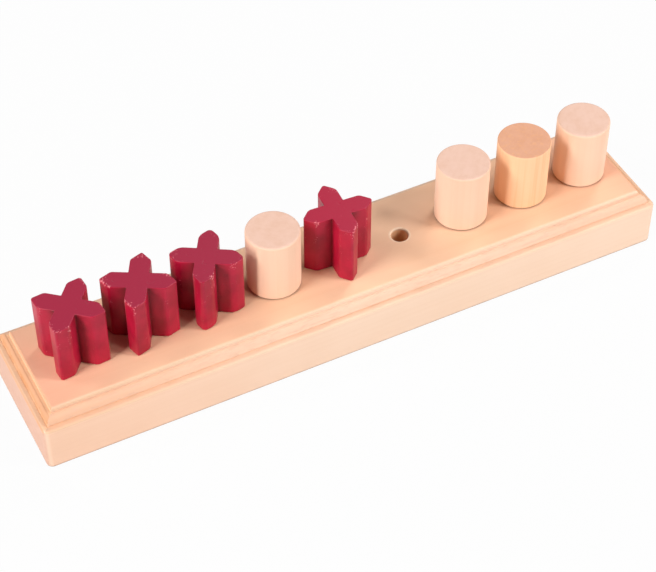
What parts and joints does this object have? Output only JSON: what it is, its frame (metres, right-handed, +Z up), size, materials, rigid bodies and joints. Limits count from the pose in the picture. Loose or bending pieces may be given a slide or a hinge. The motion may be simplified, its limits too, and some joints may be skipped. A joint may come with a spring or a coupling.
{
  "type": "wooden peg puzzle",
  "caption": "Long moulded wooden board with a single row of holes, holding loose red X-headed pegs and plain round pegs that lift out and jump between holes.",
  "frame": {"origin": "middle of the board's underside", "axes": "+X along the row of holes, from the X pegs towards the round pegs; -Y is the front; +Z up, out of the holes"},
  "size_m": [0.3, 0.0616, 0.0603],
  "materials": {
    "board_wood": "sanded pale wood, thin clear coat",
    "pale_peg_wood": "sanded bare pale wood",
    "darker_peg_wood": "sanded bare wood, a warmer piece",
    "red_paint": "semi-gloss red paint on wood, chipped on the edges",
    "dowel_wood": "bare dowel"
  },
  "bodies": {
    "board": {"base_board": "board_wood"},
    "x_peg_1": {"x_pin_1": "dowel_wood"},
    "x_peg_1_head": {"x_head_1": "red_paint"},
    "x_peg_2": {"x_pin_2": "dowel_wood"},
    "x_peg_2_head": {"x_head_2": "red_paint"},
    "x_peg_3": {"x_pin_3": "dowel_wood"},
    "x_peg_3_head": {"x_head_3": "red_paint"},
    "x_peg_4": {"x_pin_4": "dowel_wood"},
    "x_peg_4_head": {"x_head_4": "red_paint"},
    "round_peg_1": {"round_pin_1": "dowel_wood"},
    "round_peg_1_head": {"round_head_1": "pale_peg_wood"},
    "round_peg_2": {"round_pin_2": "dowel_wood"},
    "round_peg_2_head": {"round_head_2": "pale_peg_wood"},
    "round_peg_3": {"round_pin_3": "dowel_wood"},
    "round_peg_3_head": {"round_head_3": "darker_peg_wood"},
    "round_peg_4": {"round_pin_4": "dowel_wood"},
    "round_peg_4_head": {"round_head_4": "pale_peg_wood"}
  },
  "joints": [
    {"name": "x_1_lift", "type": "slide", "parent": "board", "child": "x_peg_1", "axis": [0, 0, 1], "range_m": [0, 0.05]},
    {"name": "x_1_turn", "type": "hinge", "parent": "x_peg_1", "child": "x_peg_1_head", "pos_m": [-0.1233, 0, 0.029], "axis": [0, 0, 1], "range_deg": [-28, 18]},
    {"name": "x_2_lift", "type": "slide", "parent": "board", "child": "x_peg_2", "axis": [0, 0, 1], "range_m": [0, 0.05]},
    {"name": "x_2_turn", "type": "hinge", "parent": "x_peg_2", "child": "x_peg_2_head", "pos_m": [-0.0921, 0, 0.029], "axis": [0, 0, 1], "range_deg": [-39, 7]},
    {"name": "x_3_lift", "type": "slide", "parent": "board", "child": "x_peg_3", "axis": [0, 0, 1], "range_m": [0, 0.05]},
    {"name": "x_3_turn", "type": "hinge", "parent": "x_peg_3", "child": "x_peg_3_head", "pos_m": [-0.0609, 0, 0.029], "axis": [0, 0, 1], "range_deg": [-37, 9]},
    {"name": "x_4_lift", "type": "slide", "parent": "board", "child": "x_peg_4", "axis": [0, 0, 1], "range_m": [0, 0.05]},
    {"name": "x_4_turn", "type": "hinge", "parent": "x_peg_4", "child": "x_peg_4_head", "pos_m": [0.0015, 0, 0.029], "axis": [0, 0, 1], "continuous": true},
    {"name": "round_1_lift", "type": "slide", "parent": "board", "child": "round_peg_1", "axis": [0, 0, 1], "range_m": [0, 0.05]},
    {"name": "round_1_turn", "type": "hinge", "parent": "round_peg_1", "child": "round_peg_1_head", "pos_m": [-0.0297, 0, 0.029], "axis": [0, 0, 1], "continuous": true},
    {"name": "round_2_lift", "type": "slide", "parent": "board", "child": "round_peg_2", "axis": [0, 0, 1], "range_m": [0, 0.05]},
    {"name": "round_2_turn", "type": "hinge", "parent": "round_peg_2", "child": "round_peg_2_head", "pos_m": [0.0639, 0, 0.029], "axis": [0, 0, 1], "continuous": true},
    {"name": "round_3_lift", "type": "slide", "parent": "board", "child": "round_peg_3", "axis": [0, 0, 1], "range_m": [0, 0.05]},
    {"name": "round_3_turn", "type": "hinge", "parent": "round_peg_3", "child": "round_peg_3_head", "pos_m": [0.0951, 0, 0.029], "axis": [0, 0, 1], "continuous": true},
    {"name": "round_4_lift", "type": "slide", "parent": "board", "child": "round_peg_4", "axis": [0, 0, 1], "range_m": [0, 0.05]},
    {"name": "round_4_turn", "type": "hinge", "parent": "round_peg_4", "child": "round_peg_4_head", "pos_m": [0.1263, 0, 0.029], "axis": [0, 0, 1], "continuous": true}
  ]
}
